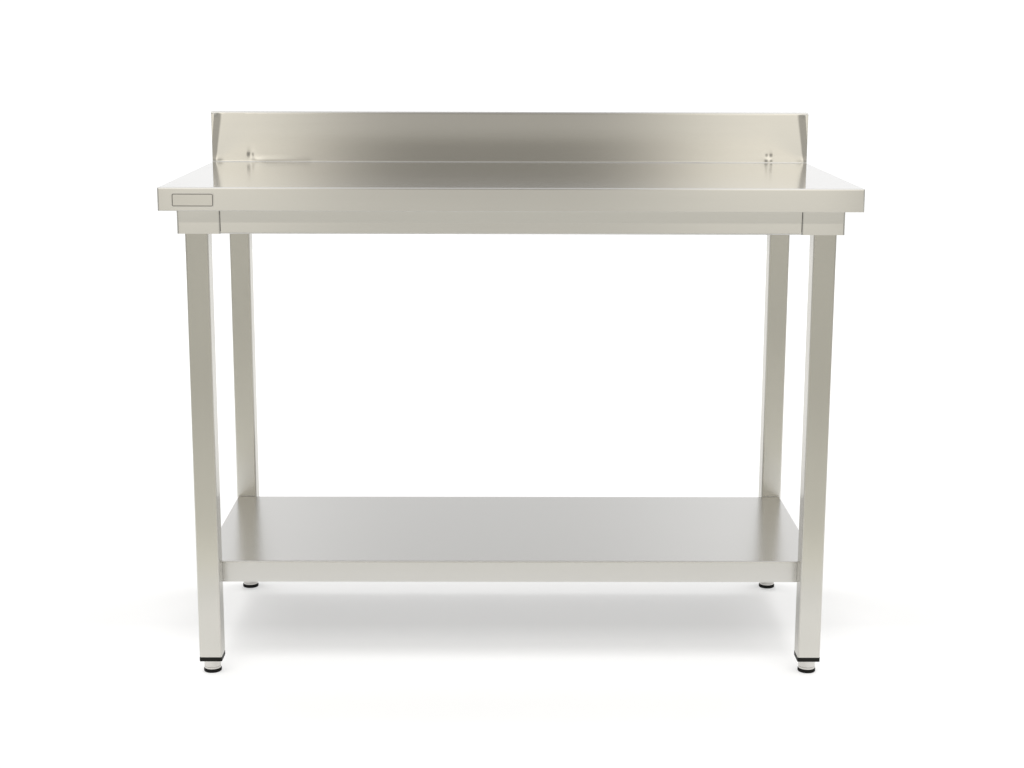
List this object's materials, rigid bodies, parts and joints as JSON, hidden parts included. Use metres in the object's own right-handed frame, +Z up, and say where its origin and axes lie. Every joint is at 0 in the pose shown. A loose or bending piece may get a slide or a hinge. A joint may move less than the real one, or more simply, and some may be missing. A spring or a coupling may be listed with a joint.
{
  "type": "work table",
  "caption": "Rectangular stainless work table with a low rear upstand, an under-frame, square legs on screw levelling feet and a full lower shelf.",
  "frame": {"origin": "on the floor under the middle of the table's plan", "axes": "+X along the width to the right as seen from the front, +Y from the front edge back to the upstand, +Z up"},
  "size_m": [1.2, 0.6011, 0.98],
  "materials": {
    "steel": "satin brushed stainless sheet, grain along each piece's length, softly mirror-like",
    "polished": "turned bright stainless",
    "fastener": "plain stainless bolts and screws",
    "insert": "plain threaded steel sleeve",
    "plate": "fine satin, left blank",
    "board": "grey melamine-faced particle board",
    "plastic": "moulded black plastic with a fine grain",
    "rubber": "dull black rubber"
  },
  "bodies": {
    "table": {"worktop_sheet": "steel", "underlay_board": "board", "board_stiffener": "steel", "rating_plate": "plate", "front_rail": "steel", "rear_rail": "steel", "shelf_pan": "steel", "shelf_stiffener": "steel", "side_channel_left": "steel", "upstand_end_left": "steel", "upstand_bracket_left": "steel", "front_rail_screw_left": "fastener", "rear_rail_screw_left": "fastener", "board_screw_left": "fastener", "side_channel_right": "steel", "upstand_end_right": "steel", "upstand_bracket_right": "steel", "front_rail_screw_right": "fastener", "rear_rail_screw_right": "fastener", "board_screw_right": "fastener", "leg_front_left": "steel", "leg_cap_front_left": "plastic", "foot_insert_front_left": "insert", "leg_plate_front_left": "steel", "leg_bolt_front_left_a": "fastener", "leg_bolt_front_left_b": "fastener", "shelf_bolt_front_left": "fastener", "leg_front_right": "steel", "leg_cap_front_right": "plastic", "foot_insert_front_right": "insert", "leg_plate_front_right": "steel", "leg_bolt_front_right_a": "fastener", "leg_bolt_front_right_b": "fastener", "shelf_bolt_front_right": "fastener", "leg_rear_left": "steel", "leg_cap_rear_left": "plastic", "foot_insert_rear_left": "insert", "leg_plate_rear_left": "steel", "leg_bolt_rear_left_a": "fastener", "leg_bolt_rear_left_b": "fastener", "shelf_bolt_rear_left": "fastener", "leg_rear_right": "steel", "leg_cap_rear_right": "plastic", "foot_insert_rear_right": "insert", "leg_plate_rear_right": "steel", "leg_bolt_rear_right_a": "fastener", "leg_bolt_rear_right_b": "fastener", "shelf_bolt_rear_right": "fastener"},
    "pad_front_left": {"foot_pad_front_left": "rubber"},
    "stud_front_left": {"foot_stud_front_left": "polished"},
    "pad_front_right": {"foot_pad_front_right": "rubber"},
    "stud_front_right": {"foot_stud_front_right": "polished"},
    "pad_rear_left": {"foot_pad_rear_left": "rubber"},
    "stud_rear_left": {"foot_stud_rear_left": "polished"},
    "pad_rear_right": {"foot_pad_rear_right": "rubber"},
    "stud_rear_right": {"foot_stud_rear_right": "polished"}
  },
  "joints": [
    {"name": "foot_height_front_left", "type": "slide", "parent": "table", "child": "pad_front_left", "axis": [0, 0, -1], "range_m": [0, 0.024]},
    {"name": "foot_turn_front_left", "type": "hinge", "parent": "pad_front_left", "child": "stud_front_left", "pos_m": [-0.54, -0.253, 0.03], "axis": [0, 0, -1], "range_deg": [0, 5760]},
    {"name": "foot_height_front_right", "type": "slide", "parent": "table", "child": "pad_front_right", "axis": [0, 0, -1], "range_m": [0, 0.024]},
    {"name": "foot_turn_front_right", "type": "hinge", "parent": "pad_front_right", "child": "stud_front_right", "pos_m": [0.54, -0.253, 0.03], "axis": [0, 0, -1], "range_deg": [0, 5760]},
    {"name": "foot_height_rear_left", "type": "slide", "parent": "table", "child": "pad_rear_left", "axis": [0, 0, -1], "range_m": [0, 0.024]},
    {"name": "foot_turn_rear_left", "type": "hinge", "parent": "pad_rear_left", "child": "stud_rear_left", "pos_m": [-0.54, 0.233, 0.03], "axis": [0, 0, -1], "range_deg": [0, 5760]},
    {"name": "foot_height_rear_right", "type": "slide", "parent": "table", "child": "pad_rear_right", "axis": [0, 0, -1], "range_m": [0, 0.024]},
    {"name": "foot_turn_rear_right", "type": "hinge", "parent": "pad_rear_right", "child": "stud_rear_right", "pos_m": [0.54, 0.233, 0.03], "axis": [0, 0, -1], "range_deg": [0, 5760]}
  ],
  "couplings": [
    {"joint": "foot_turn_front_left", "follows": "foot_height_front_left", "rad_per_m": 4188.8},
    {"joint": "foot_turn_front_right", "follows": "foot_height_front_right", "rad_per_m": 4188.8},
    {"joint": "foot_turn_rear_left", "follows": "foot_height_rear_left", "rad_per_m": 4188.8},
    {"joint": "foot_turn_rear_right", "follows": "foot_height_rear_right", "rad_per_m": 4188.8}
  ]
}
